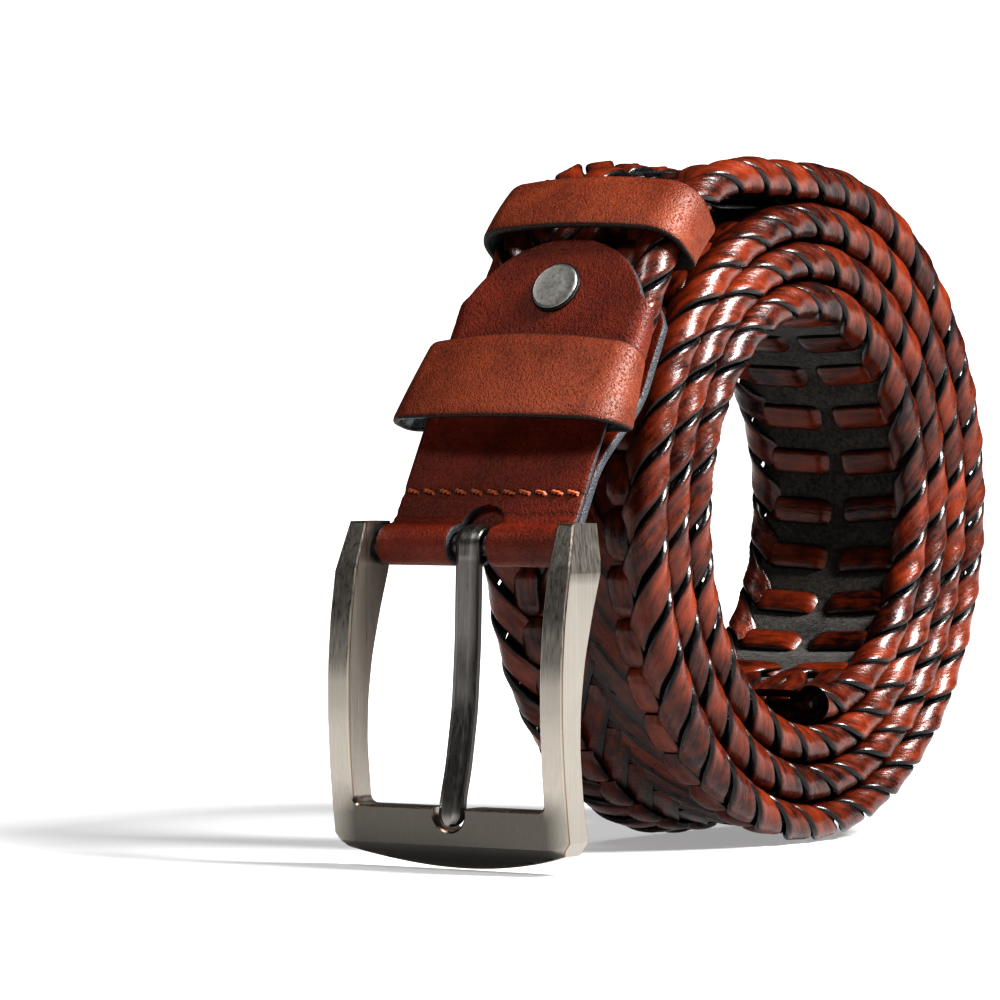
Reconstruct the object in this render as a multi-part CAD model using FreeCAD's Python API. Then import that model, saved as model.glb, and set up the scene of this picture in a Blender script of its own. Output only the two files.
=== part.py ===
import FreeCAD, Part
import math
import os

os.makedirs("parts", exist_ok=True)
V = FreeCAD.Vector

# ---------------------------------------------------------------- dimensions (mm, degrees)
# Where the coil's axis lies in the row frame
axis_y = 15.97
axis_z = 56.32

# Braided strap, rolled up
strap_width = 35.0
braid_half = 3.1                # half the thickness of the edge laces
core_half_width = 14.9
core_half = 0.75
core_gap = 0.1                  # between the core and the laces
edge_lace_inner = 12.1
inner_lace_out = 2.3
column_near = 7.0
column_far = 11.8
column_out = 2.5
inner_radius = 32.85            # centre line at the bottom of the innermost turn
turn_pitch = 6.74
coil_start = 4.0                # angle of the inner end, from the bottom towards the back
coil_end = 1260.0               # three and a half turns: the top
station_step = 7.5

# Strap from the top of the coil down to the buckle
lead_length = 19.0
bend_radius = 36.0
tab_lean = 29.2                 # the tab's lean from the vertical
braid_tail = 15.6               # straight braid under the tab

# Tab: one strip folded round the buckle bar
ply = 1.4
ply_gap = 0.1
tab_width = 35.0
cover_half_width = 18.95        # wide upper part that grips the braid's sides
cover_skirt = 4.0
cover_side_gap = 0.15           # between the skirts and the braid's sides
cover_corner = 0.9
cover_overrun = 0.6             # how far the wide part runs past the braid's end
cover_tip = 5.9                 # tip of the rounded end, measured up from the bend's end
cover_end_length = 19.0
fold_fillet = 4.0
bar_from_bend = 51.65           # buckle bar, measured down the tab from the bend's end
bar_lift = 4.5                  # bar in front of the braid's centre plane
prong_slot_width = 7.4
prong_slot_up = 7.5
stitch_up = 9.7                 # stitch row above the bar
back_join = 12.5                # plies meet this far above the bar
back_leave = 34.0               # back ply lies on the braid above this
arc_step = 12.0                 # degrees between the fold's facets

# Stitches
stitch_count = 11
stitch_pitch = 3.1
stitch_length = 2.4
thread_radius = 0.42

# Rivet through tab and braid
rivet_up = 47.95                # above the bar, along the tab
rivet_cap_radius = 4.2
rivet_cap_height = 0.5
rivet_chamfer = 0.2
rivet_post_radius = 1.5
rivet_socket_radius = 3.5
rivet_socket_height = 0.8
rivet_collar_radius = 4.55
rivet_collar_height = 0.35

# Keepers
keeper_thickness = 1.35
fixed_keeper_width = 14.0
fixed_keeper_up = 28.6          # centre above the bar, along the tab
# rims of the fixed keeper: half width, front's stand-off, dome, shoulder radius and tilt
fixed_keeper_upper = (19.3, 2.2, 1.8, 2.6, 12.0)
fixed_keeper_lower = (20.9, 5.6, 1.2, 5.0, -15.0)
keeper_corner = 0.8
slide_keeper_width = 10.0
slide_keeper_angle = 43.5       # round the bend's centre, from the vertical
slide_keeper_half = 18.3
slide_keeper_clearance = 0.35
slide_keeper_lift = 1.8         # front's stand-off above the braid
slide_keeper_rise = 1.0
slide_keeper_shoulder = 4.5
staple_length = 9.0
staple_wire = 0.6

# Buckle, measured from the bar: forwards and downwards
bar_radius = 1.9
bar_clearance = 0.05
bar_inset = 2.2                 # how far the bar goes into each arm
buckle_half_width = 22.75
opening_half_width = 18.45
arm_top = 3.8
bar_top_drop = 41.8             # top edge of the end bar
crease_drop = 47.9
foot_drop = 51.8
corner_drop = 48.9
front_top, front_mid, front_low = 6.4, 9.6, 7.3
front_mid_drop = 20.0
back_top, back_mid, back_low = -2.4, 3.7, 1.3
back_mid_drop = 25.0
arm_chamfer = 0.8
arm_slope = 2.4                 # the arm's top falls away forwards
arm_slope_end = 0.2
back_straight = 3.0             # the arm's back is straight down to here
foot_bevel = 4.2
foot_rise = 4.0
foot_step = 0.2
corner_across, corner_up = 1.8, 2.2
window_fillet = 1.2
notch_radius = 3.0
notch_drop = 42.6
prong_width = 4.6
prong_thickness = 2.3
prong_eye_radius = 3.55
prong_tip_radius = 2.2
prong_end = 44.8
# the prong's front, from the eye to the tip: (forwards, down)
prong_line = [(3.55, 0.0), (3.75, 8.0), (4.0, 16.0), (4.8, 26.0), (6.6, 35.5), (8.1, 40.5),
              (8.6, prong_end)]


# ---------------------------------------------------------------- strap path
def spiral_station(angle):
    """Point and outward normal of the strap's centre line at an angle of the coil."""
    a = math.radians(angle)
    growth = turn_pitch / (2 * math.pi)
    r = inner_radius + growth * a
    dy = growth * math.sin(a) + r * math.cos(a)
    dz = -growth * math.cos(a) + r * math.sin(a)
    size = math.hypot(dy, dz)
    return (r * math.sin(a), -r * math.cos(a), dz / size, -dy / size)


def bend_centre():
    """Centre of the bend that turns the strap down, and the heading where it starts."""
    y, z, ny, nz = spiral_station(coil_end)
    heading = math.atan2(-ny, nz)
    start_y = y - lead_length * math.cos(heading)
    start_z = z - lead_length * math.sin(heading)
    centre_y = start_y + bend_radius * math.sin(heading)
    centre_z = start_z - bend_radius * math.cos(heading)
    return centre_y, centre_z, heading


BEND_Y, BEND_Z, LEAD_HEADING = bend_centre()
TAB_DOWN = (-math.sin(math.radians(tab_lean)), -math.cos(math.radians(tab_lean)))
TAB_OUT = (-math.cos(math.radians(tab_lean)), math.sin(math.radians(tab_lean)))


def tab_point(down, out):
    """Point beside the straight tab: distance down from the bend's end, and out from the braid."""
    y = BEND_Y + TAB_DOWN[0] * down + TAB_OUT[0] * (bend_radius + out)
    z = BEND_Z + TAB_DOWN[1] * down + TAB_OUT[1] * (bend_radius + out)
    return y, z


def bend_station(angle, out=0.0):
    """Station on the bend, its angle measured from the vertical."""
    a = math.radians(angle)
    ny, nz = -math.sin(a), math.cos(a)
    r = bend_radius + out
    return (BEND_Y + r * ny, BEND_Z + r * nz, ny, nz)


def braid_stations():
    """Stations of the whole braid, from the inner end to the end under the tab."""
    count = int(round((coil_end - coil_start) / station_step))
    turns = [coil_start + (coil_end - coil_start) * i / count for i in range(count + 1)]
    stations = [spiral_station(a) for a in turns]
    y, z, ny, nz = stations[-1]
    for i in range(1, 5):
        s = lead_length * i / 5.0
        stations.append((y - nz * s, z + ny * s, ny, nz))
    first = math.degrees(LEAD_HEADING)
    last = 90.0 - tab_lean
    for i in range(13):
        stations.append(bend_station(first + (last - first) * i / 12.0))
    for i in range(1, 4):
        y, z = tab_point(braid_tail * i / 3.0, 0.0)
        stations.append((y, z, TAB_OUT[0], TAB_OUT[1]))
    return stations


# ---------------------------------------------------------------- solids along a path
def to_frame(y, z, x=0.0):
    return V(x, y + axis_y, z + axis_z)


def band(stations, profile):
    """Closed solid: a polygon of (across, out) corners carried along the stations."""
    rails = []
    for across, out in profile:
        points = [to_frame(y + ny * out, z + nz * out, across) for y, z, ny, nz in stations]
        rail = Part.BSplineCurve()
        rail.interpolate(points)
        rails.append((rail.toShape(), points[0], points[-1]))
    faces = []
    starts = []
    ends = []
    for i, (edge, first, last) in enumerate(rails):
        other, other_first, other_last = rails[(i + 1) % len(rails)]
        cap_start = Part.makeLine(first, other_first)
        cap_end = Part.makeLine(last, other_last)
        starts.append(cap_start)
        ends.append(cap_end)
        if abs(profile[i][0] - profile[(i + 1) % len(rails)][0]) < 1e-9:
            faces.append(Part.Face(Part.Wire([edge, cap_end, other, cap_start])))
        else:
            faces.append(Part.makeRuledSurface(edge, other))
    faces.append(Part.Face(Part.Wire(starts)))
    faces.append(Part.Face(Part.Wire(ends)))
    shell = Part.Shell(faces)
    shell.sewShape()
    solid = Part.Solid(shell)
    if solid.Volume < 0:
        solid.reverse()
    return solid


def flat_band(stations, half_width, low, high):
    """Closed solid with a rectangular section, carried along the stations."""
    rails = []
    ends = []
    for out in (low, high):
        points = [to_frame(y + ny * out, z + nz * out, -half_width) for y, z, ny, nz in stations]
        rail = Part.BSplineCurve()
        rail.interpolate(points)
        rails.append(rail.toShape())
        ends.append((points[0], points[-1]))
    caps = [Part.makeLine(ends[0][i], ends[1][i]) for i in (0, 1)]
    face = Part.Face(Part.Wire([rails[0], caps[1], rails[1], caps[0]]))
    return face.extrude(V(2 * half_width, 0, 0))


def sheet(points, thickness, half_width):
    """Leather sheet: a centre line in the side view, given thickness and width."""
    low, high = [], []
    for i, (y, z) in enumerate(points):
        before = points[max(i - 1, 0)]
        after = points[min(i + 1, len(points) - 1)]
        dy, dz = after[0] - before[0], after[1] - before[1]
        size = math.hypot(dy, dz)
        step_y, step_z = y - before[0], z - before[1]
        step = math.hypot(step_y, step_z)
        mitre = (dy * step_y + dz * step_z) / (size * step) if step else 1.0
        reach = thickness / 2.0 / mitre
        low.append(to_frame(y - dz / size * reach, z + dy / size * reach, -half_width))
        high.append(to_frame(y + dz / size * reach, z - dy / size * reach, -half_width))
    outline = low + high[::-1]
    face = Part.Face(Part.makePolygon(outline + outline[:1]))
    return face.extrude(V(2 * half_width, 0, 0))


def tab_cylinder(down, out, length, radius, across=0.0):
    """Cylinder that stands on the tab, its axis square to the leather."""
    y, z = tab_point(down, out)
    return Part.makeCylinder(radius, length, to_frame(y, z, across), V(0, *TAB_OUT))


def tab_box(down_from, down_to, out_from, out_to, half_width):
    """Box lined up with the tab."""
    corners = [(down_from, out_from), (down_to, out_from), (down_to, out_to), (down_from, out_to)]
    points = [to_frame(*tab_point(d, o), -half_width) for d, o in corners]
    face = Part.Face(Part.makePolygon(points + points[:1]))
    return face.extrude(V(2 * half_width, 0, 0))


# ---------------------------------------------------------------- braid
def make_core(stations):
    return flat_band(stations, core_half_width, -core_half, core_half)


def make_edge_lace(stations, side):
    """Envelope of the lace that wraps one edge of the strap."""
    half = strap_width / 2.0
    slot = core_half + core_gap
    inner = edge_lace_inner
    hump, shoulder, side_half = half - 3.1, half - 1.1, 1.7
    profile = [
        (inner, slot), (inner, inner_lace_out), (hump, braid_half), (shoulder, braid_half),
        (half, side_half), (half, -side_half), (shoulder, -braid_half), (hump, -braid_half),
        (inner, -inner_lace_out), (inner, -slot), (core_half_width + core_gap, -slot),
        (core_half_width + core_gap, slot),
    ]
    return band(stations, [(side * x, out) for x, out in profile])


def make_run(stations, side, near, far, low, high):
    """Envelope of a lace's runs on one face of the core."""
    run = flat_band(stations, (far - near) / 2.0, low, high)
    run.translate(V(side * (near + far) / 2.0, 0, 0))
    return run


def make_inner_lace(stations, side):
    """Lace that spirals between the middle and the column: front runs and back bars."""
    slot = core_half + core_gap
    front = make_run(stations, side, 0.3, column_near - 0.2, slot, inner_lace_out)
    back = make_run(stations, side, 1.2, edge_lace_inner - 0.3, -inner_lace_out, -slot)
    return Part.makeCompound([front, back])


def make_column_lace(stations, side):
    """Lace that runs along the strap over and under the others."""
    return make_run(stations, side, column_near, column_far, core_half + core_gap, column_out)


# ---------------------------------------------------------------- tab
def tab_arc(down, out, radius, first, last):
    """Points on an arc beside the tab; its angle runs from straight out towards down."""
    count = max(2, int(math.degrees(abs(last - first)) / arc_step))
    angles = [first + (last - first) * i / count for i in range(count + 1)]
    return [tab_point(down + radius * math.sin(a), out + radius * math.cos(a)) for a in angles]


def fold_points():
    """Centre line of the tab strip, from its rounded end round the bar and up the back."""
    front = braid_half + ply_gap + ply / 2.0
    inside = front - ply - ply_gap
    back = -front
    radius = bar_radius + bar_clearance + ply / 2.0
    reach = fold_fillet + radius
    bend_end = 90.0 - tab_lean
    tip = bend_end - math.degrees(cover_tip / (bend_radius + front))
    bend = [tip + (bend_end - tip) * i / 4.0 for i in range(5)]
    front_fillet = front + fold_fillet
    back_fillet = inside - fold_fillet
    front_run = math.sqrt(reach ** 2 - (front_fillet - bar_lift) ** 2)
    back_run = math.sqrt(reach ** 2 - (bar_lift - back_fillet) ** 2)
    front_turn = math.atan2(front_run, front_fillet - bar_lift)
    back_turn = math.atan2(back_run, bar_lift - back_fillet)
    front_end = bar_from_bend - front_run
    back_end = bar_from_bend - back_run
    points = [bend_station(a, front)[:2] for a in bend]
    points += tab_arc(front_end, front_fillet, fold_fillet, math.pi, math.pi - front_turn)
    points += tab_arc(bar_from_bend, bar_lift, radius, -front_turn, math.pi + back_turn)[1:-1]
    points += tab_arc(back_end, back_fillet, fold_fillet, back_turn, 0.0)
    join = bar_from_bend - back_join
    leave = bar_from_bend - back_leave
    for i in range(11):
        t = i / 10.0
        ease = t * t * (3.0 - 2.0 * t)
        points.append(tab_point(join + (leave - join) * t, inside + (back - inside) * ease))
    points += [bend_station(a, back)[:2] for a in reversed(bend)]
    return points


def cover_end_tool():
    """What is cut from a square end to leave the rounded end."""
    centre = cover_end_length - cover_tip
    across = cover_half_width + 0.3
    y, z = tab_point(centre, 0.0)
    ellipse = Part.Ellipse(V(0, 0, 0), across, cover_end_length)
    disc = Part.Face(Part.Wire(ellipse.toShape()))
    square = Part.makeBox(3 * across, cover_end_length + 6.0, 24.0, V(-1.5 * across, 0, -8.0))
    disc = disc.extrude(V(0, 0, 24.0))
    disc.translate(V(0, 0, -8.0))
    tool = square.cut(disc)
    tool.rotate(V(0, 0, 0), V(1, 0, 0), 90.0 - tab_lean)
    tool.translate(to_frame(y, z))
    return tool


def make_cover_skirts():
    """Sides of the wide upper part, moulded down over the braid's edges."""
    front = braid_half + ply_gap
    stations = []
    top_angle = 90.0 - tab_lean - math.degrees(cover_tip / bend_radius)
    for i in range(6):
        stations.append(bend_station(top_angle + (90.0 - tab_lean - top_angle) * i / 6.0))
    run = braid_tail + cover_overrun
    for i in range(5):
        y, z = tab_point(run * i / 4.0, 0.0)
        stations.append((y, z, TAB_OUT[0], TAB_OUT[1]))
    top, low = front + ply, front + ply - cover_skirt
    outer, inner = cover_half_width, strap_width / 2.0 + cover_side_gap
    profile = [(-outer, low), (-inner, low), (-inner, front), (inner, front), (inner, low),
               (outer, low), (outer, top - cover_corner), (outer - cover_corner, top),
               (cover_corner - outer, top), (-outer, top - cover_corner)]
    return band(stations, profile)


def make_tab(stitches, post):
    strip = sheet(fold_points(), ply, tab_width / 2.0)
    tab = strip.fuse(make_cover_skirts())
    tab = tab.cut(cover_end_tool())
    slot = tab_box(bar_from_bend - prong_slot_up, bar_from_bend + 6.0,
                   bar_lift - 6.0, bar_lift + 6.0, prong_slot_width / 2.0)
    tab = tab.cut(slot)
    tab = tab.cut(post)
    return tab.cut(stitches)


def make_stitches():
    """Row of thread loops through both plies."""
    front = braid_half + ply_gap + ply + 0.1
    back = front - 2 * ply - ply_gap - 0.2
    loops = []
    down = bar_from_bend - stitch_up
    for i in range(stitch_count):
        across = (i - (stitch_count - 1) / 2.0) * stitch_pitch
        ends = [across - stitch_length / 2.0, across + stitch_length / 2.0]
        loop = None
        for out in (front, back):
            y, z = tab_point(down, out)
            bar = Part.makeCylinder(thread_radius, stitch_length, to_frame(y, z, ends[0]), V(1, 0, 0))
            for end in ends:
                bar = bar.fuse(Part.makeSphere(thread_radius, to_frame(y, z, end)))
            loop = bar if loop is None else loop.fuse(bar)
        for end in ends:
            loop = loop.fuse(tab_cylinder(down, back, front - back, thread_radius, end))
        loops.append(loop)
    return Part.makeCompound(loops)


# ---------------------------------------------------------------- rivet
def make_rivet():
    down = bar_from_bend - rivet_up
    face = braid_half + ply_gap + ply + 0.03
    collar = tab_cylinder(down, face, rivet_collar_height, rivet_collar_radius)
    lift = face + rivet_collar_height
    cap = tab_cylinder(down, lift, rivet_cap_height, rivet_cap_radius)
    rim = [e for e in cap.Edges if e.BoundBox.DiagonalLength > rivet_cap_radius]
    top = max(rim, key=lambda e: e.CenterOfMass.z if len(e.Vertexes) == 1 else -1e9)
    cap = cap.makeChamfer(rivet_chamfer, [top])
    post = tab_cylinder(down, -face, face + lift, rivet_post_radius)
    socket = tab_cylinder(down, -face - rivet_socket_height, rivet_socket_height, rivet_socket_radius)
    return cap.fuse(post).removeSplitter(), collar.cut(post), socket, post


# ---------------------------------------------------------------- keepers
def loop_wire(half, low, high, rise, shoulder, grow):
    """Outline of a keeper loop, (across, out): domed front, round shoulders and a flat back."""
    w, bottom, top = half + grow, low - grow, high + grow
    r = keeper_corner + grow
    s = r * math.sqrt(0.5)
    q = shoulder + grow
    p = q * math.sqrt(0.5)
    corners = [
        (V(w - r, bottom, 0), V(w - r + s, bottom + r - s, 0), V(w, bottom + r, 0)),
        (V(w, top - q, 0), V(w - q + p, top - q + p, 0), V(w - q, top, 0)),
        (V(q - w, top, 0), V(q - w - p, top - q + p, 0), V(-w, top - q, 0)),
        (V(-w, bottom + r, 0), V(r - w - s, bottom + r - s, 0), V(r - w, bottom, 0)),
    ]
    edges = []
    for i, (first, middle, last) in enumerate(corners):
        edges.append(Part.Arc(first, middle, last).toShape())
        following = corners[(i + 1) % 4][0]
        if i == 1:
            edges.append(Part.Arc(last, V(0, top + rise, 0), following).toShape())
        else:
            edges.append(Part.makeLine(last, following))
    return Part.Wire(edges)


def make_fixed_keeper():
    """Loop round the front ply, its back between the plies and its front flared."""
    face_out = braid_half + ply_gap + ply
    low = face_out - ply - 0.2
    solids = []
    for grow in (keeper_thickness, 0.0):
        wires = []
        for down, rim in ((-fixed_keeper_width / 2.0, fixed_keeper_upper),
                          (fixed_keeper_width / 2.0, fixed_keeper_lower)):
            half, lift, rise, shoulder, tilt = rim
            wire = loop_wire(half, low, face_out + lift, rise, shoulder, grow)
            wire.translate(V(0, -face_out, 0))
            wire.rotate(V(0, 0, 0), V(1, 0, 0), -tilt)
            wire.translate(V(0, face_out, down))
            wires.append(wire)
        solids.append(Part.makeLoft(wires, True, True))
    loop = solids[0].cut(solids[1])
    loop.rotate(V(0, 0, 0), V(1, 0, 0), 180.0 - tab_lean)
    y, z = tab_point(bar_from_bend - fixed_keeper_up, 0.0)
    loop.translate(to_frame(y, z))
    return loop


def make_slide_keeper():
    """Loop round the braid, swept on the bend's own centre so that it can slide."""
    gap = braid_half + slide_keeper_clearance
    high = bend_radius + gap + slide_keeper_lift
    outer, inner = [Part.Face(loop_wire(slide_keeper_half, bend_radius - gap, high,
                                        slide_keeper_rise, slide_keeper_shoulder, grow))
                    for grow in (keeper_thickness, 0.0)]
    loop = outer.cut(inner).Faces[0]
    loop.rotate(V(0, 0, 0), V(1, 0, 0), 90.0)
    sweep = math.degrees(slide_keeper_width / bend_radius)
    loop.rotate(V(0, 0, 0), V(1, 0, 0), slide_keeper_angle - sweep / 2.0)
    loop = loop.revolve(V(0, 0, 0), V(1, 0, 0), sweep)
    loop.translate(to_frame(BEND_Y, BEND_Z))
    return loop


def make_slide_staple():
    """Wire staple that closes the sliding keeper at the back."""
    out = -braid_half - slide_keeper_clearance - keeper_thickness - staple_wire / 2.0 - 0.05
    y, z, ny, nz = bend_station(slide_keeper_angle, out)
    bar = Part.makeBox(staple_length, staple_wire, staple_wire,
                       V(-staple_length / 2.0, -staple_wire / 2.0, -staple_wire / 2.0))
    bar.rotate(V(0, 0, 0), V(1, 0, 0), slide_keeper_angle)
    bar.translate(to_frame(y, z))
    return bar


# ---------------------------------------------------------------- buckle
def bar_centre():
    return tab_point(bar_from_bend, bar_lift)


def from_bar(forward, drop, across=0.0):
    """Point given forwards and downwards from the bar's axis."""
    y, z = bar_centre()
    return to_frame(y - forward, z - drop, across)


def make_bar():
    start = from_bar(0, 0, -opening_half_width - bar_inset)
    return Part.makeCylinder(bar_radius, 2 * (opening_half_width + bar_inset), start, V(1, 0, 0))


def make_frame(bar):
    """U-shaped casting: side profile and front outline in one."""
    low = foot_drop
    top = -arm_top
    edges = [
        Part.makeLine(from_bar(back_top, top + arm_chamfer), from_bar(back_top + arm_chamfer, top)),
        Part.makeLine(from_bar(back_top + arm_chamfer, top), from_bar(front_top - arm_slope, top)),
        Part.makeLine(from_bar(front_top - arm_slope, top), from_bar(front_top, arm_slope_end)),
        Part.Arc(from_bar(front_top, arm_slope_end), from_bar(front_mid, front_mid_drop),
                 from_bar(front_low, crease_drop)).toShape(),
        Part.makeLine(from_bar(front_low, crease_drop), from_bar(front_low - foot_bevel, low)),
        Part.makeLine(from_bar(front_low - foot_bevel, low), from_bar(back_low + foot_step, low)),
        Part.makeLine(from_bar(back_low + foot_step, low), from_bar(back_low, low - foot_rise)),
        Part.Arc(from_bar(back_low, low - foot_rise), from_bar(back_mid, back_mid_drop),
                 from_bar(back_top, back_straight)).toShape(),
        Part.makeLine(from_bar(back_top, back_straight), from_bar(back_top, top + arm_chamfer)),
    ]
    w = buckle_half_width
    side = Part.Face(Part.Wire(edges))
    side.translate(V(-w - 1.0, 0, 0))
    side = side.extrude(V(2 * w + 2.0, 0, 0))

    reach = 14.0
    above = top - 1.0
    bend = corner_drop - corner_up
    near = w - corner_across
    outline = [
        Part.makeLine(from_bar(reach, above, -w), from_bar(reach, bend, -w)),
        Part.makeLine(from_bar(reach, bend, -w), from_bar(reach, corner_drop, -near)),
        Part.Arc(from_bar(reach, corner_drop, -near), from_bar(reach, foot_drop, 0),
                 from_bar(reach, corner_drop, near)).toShape(),
        Part.makeLine(from_bar(reach, corner_drop, near), from_bar(reach, bend, w)),
        Part.makeLine(from_bar(reach, bend, w), from_bar(reach, above, w)),
        Part.makeLine(from_bar(reach, above, w), from_bar(reach, above, -w)),
    ]
    front = Part.Face(Part.Wire(outline)).extrude(V(0, 2 * reach, 0))
    frame = side.common(front)
    depth = 2 * reach
    window = Part.makeBox(2 * opening_half_width, depth, bar_top_drop + 20.0,
                          from_bar(reach, bar_top_drop, -opening_half_width))
    rounded = [e for e in window.Edges
               if abs(e.CenterOfMass.z - window.BoundBox.ZMin) < 1e-6 and abs(e.tangentAt(0).y) > 0.9]
    window = window.makeFillet(window_fillet, rounded)
    frame = frame.cut(window)
    notch = Part.makeCylinder(notch_radius, depth, from_bar(reach, notch_drop), V(0, 1, 0))
    notch_mouth = Part.makeBox(2 * notch_radius, depth, 3.0,
                               from_bar(reach, notch_drop, -notch_radius))
    frame = frame.cut(notch.fuse(notch_mouth))
    return frame.cut(bar)


def make_prong():
    """Tongue with an eye round the bar and a tip that drops into the notch."""
    t = prong_thickness
    front = [from_bar(forward, drop) for forward, drop in prong_line]
    back = [from_bar(forward - t, drop) for forward, drop in prong_line]
    front_curve = Part.BSplineCurve()
    front_curve.interpolate(front)
    back_curve = Part.BSplineCurve()
    back_curve.interpolate(back)
    edges = [front_curve.toShape(), Part.makeLine(front[-1], back[-1]), back_curve.toShape(),
             Part.makeLine(back[0], front[0])]
    half = prong_width / 2.0
    tongue = Part.Face(Part.Wire(edges))
    tongue.translate(V(-half, 0, 0))
    tongue = tongue.extrude(V(prong_width, 0, 0))
    reach = 12.0
    tip_drop = prong_end - prong_tip_radius
    outline = Part.makeBox(prong_width, 2 * reach, tip_drop + 5.0, from_bar(reach, tip_drop, -half))
    tip = Part.makeCylinder(half, 2 * reach, from_bar(reach, tip_drop), V(0, 1, 0))
    tongue = tongue.common(outline.fuse(tip))
    start = from_bar(0, 0, -half)
    eye = Part.makeCylinder(prong_eye_radius, prong_width, start, V(1, 0, 0))
    bore = Part.makeCylinder(bar_radius + bar_clearance, prong_width, start, V(1, 0, 0))
    return eye.fuse(tongue).cut(bore).removeSplitter()


# ---------------------------------------------------------------- build
def build():
    stations = braid_stations()
    cap, collar, socket, post = make_rivet()
    stitches = make_stitches()
    bar = make_bar()
    nodes = {
        "strap_core": make_core(stations).cut(post),
        "edge_lace_left": make_edge_lace(stations, -1),
        "edge_lace_right": make_edge_lace(stations, 1),
        "inner_lace_left": make_inner_lace(stations, -1).cut(post),
        "inner_lace_right": make_inner_lace(stations, 1).cut(post),
        "column_lace_left": make_column_lace(stations, -1),
        "column_lace_right": make_column_lace(stations, 1),
        "tab_strip": make_tab(stitches, post),
        "tab_stitches": stitches,
        "rivet_cap": cap,
        "rivet_collar": collar,
        "rivet_socket": socket,
        "fixed_keeper": make_fixed_keeper(),
        "sliding_keeper": make_slide_keeper(),
        "sliding_keeper_staple": make_slide_staple(),
        "buckle_frame": make_frame(bar),
        "buckle_bar": bar,
        "prong": make_prong(),
    }
    for name, shape in nodes.items():
        shape.exportStep("parts/" + name + ".step")
        box = shape.BoundBox
        print("%-22s valid=%s solids=%d vol=%.1f  x %.2f..%.2f  y %.2f..%.2f  z %.2f..%.2f" % (
            name, shape.isValid(), len(shape.Solids), shape.Volume,
            box.XMin, box.XMax, box.YMin, box.YMax, box.ZMin, box.ZMax))
    return nodes


build()
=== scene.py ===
import math

import bmesh
import bpy
import numpy as np
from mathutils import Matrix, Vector


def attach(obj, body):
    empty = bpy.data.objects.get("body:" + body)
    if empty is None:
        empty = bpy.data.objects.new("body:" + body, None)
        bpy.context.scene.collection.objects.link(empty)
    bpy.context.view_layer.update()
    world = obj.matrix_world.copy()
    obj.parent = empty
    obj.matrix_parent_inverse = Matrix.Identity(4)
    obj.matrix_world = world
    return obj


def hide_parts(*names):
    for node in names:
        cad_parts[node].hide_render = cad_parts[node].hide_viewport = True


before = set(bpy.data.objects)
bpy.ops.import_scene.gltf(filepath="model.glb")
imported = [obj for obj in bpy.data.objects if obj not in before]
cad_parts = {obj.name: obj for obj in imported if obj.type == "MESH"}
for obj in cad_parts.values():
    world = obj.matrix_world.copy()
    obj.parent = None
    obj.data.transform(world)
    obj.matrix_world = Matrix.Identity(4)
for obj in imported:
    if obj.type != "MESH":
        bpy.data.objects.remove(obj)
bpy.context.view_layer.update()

MM = 0.001
RNG = np.random.default_rng(11)

# ---------------------------------------------------------------- dimensions (mm, degrees)
AXIS_Y, AXIS_Z = 15.97, 56.32
INNER_RADIUS, TURN_PITCH = 32.85, 6.74
COIL_START, COIL_END = 4.0, 1260.0
LEAD_LENGTH, BEND_RADIUS, TAB_LEAN = 19.0, 36.0, 29.2
BRAID_TAIL = 15.6
BRAID_HALF = 3.1
STRAP_HALF = 17.5
CORE_HALF_WIDTH, CORE_HALF = 14.9, 0.75

ROW_PITCH = 9.0
LACE_HALF = 2.4
LACE_CROWN = 1.35

PLY, PLY_GAP = 1.4, 0.1
FACE = BRAID_HALF + PLY_GAP + PLY
COVER_TIP, COVER_END = 5.9, 19.0
COVER_RUN = 16.2
COVER_DEVELOPED = 20.9
BAR_DOWN, BAR_LIFT, BAR_RADIUS = 51.65, 4.5, 1.9
FOLD_FILLET = 4.0
BACK_JOIN, BACK_LEAVE = 12.5, 34.0
SLOT_HALF, SLOT_UP = 3.7, 7.5
STITCH_DOWN, STITCH_PITCH, STITCH_COUNT = 41.95, 3.1, 11
STRAND_OFFSET, STRAND_RADIUS = 0.19, 0.23
SKIRT_START, SKIRT_RADIUS = 17.0, 1.25     # where the wide part turns down over the braid's sides
COVER_HALF, BACK_HALF = 18.7, 19.2
EDGE_SOFT, EDGE_ROUND = 0.45, 0.28         # rounding of the cut edges: width and depth
RIVET_DOWN = 3.7

KEEPER_THICKNESS = 1.35
FIXED_WIDTH, FIXED_DOWN = 14.0, 23.05
# rims of the fixed keeper: half width, front's stand-off, dome and shoulder radius
FIXED_UPPER, FIXED_LOWER = (19.3, 2.2, 1.8, 2.6), (20.9, 5.6, 1.2, 5.0)
FIXED_TILTS = (12.0, -15.0)
KEEPER_CORNER = 0.8
SLIDE_WIDTH, SLIDE_ANGLE, SLIDE_HALF = 10.0, 43.5, 18.3
SLIDE_CLEARANCE, SLIDE_LIFT, SLIDE_RISE, SLIDE_SHOULDER = 0.35, 1.8, 1.0, 4.5

BUCKLE_HALF, WINDOW_HALF = 22.75, 18.45
ARM_TOP, BAR_TOP, CREASE, FOOT, CORNER = -3.8, 41.8, 47.9, 51.8, 48.9
NOTCH_RADIUS, NOTCH_DROP = 3.0, 42.6
CHAMFER_WIDTH, CHAMFER_DEPTH = 0.32, 0.3
PRONG_THICK, PRONG_HALF = 2.3, 2.3


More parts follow.
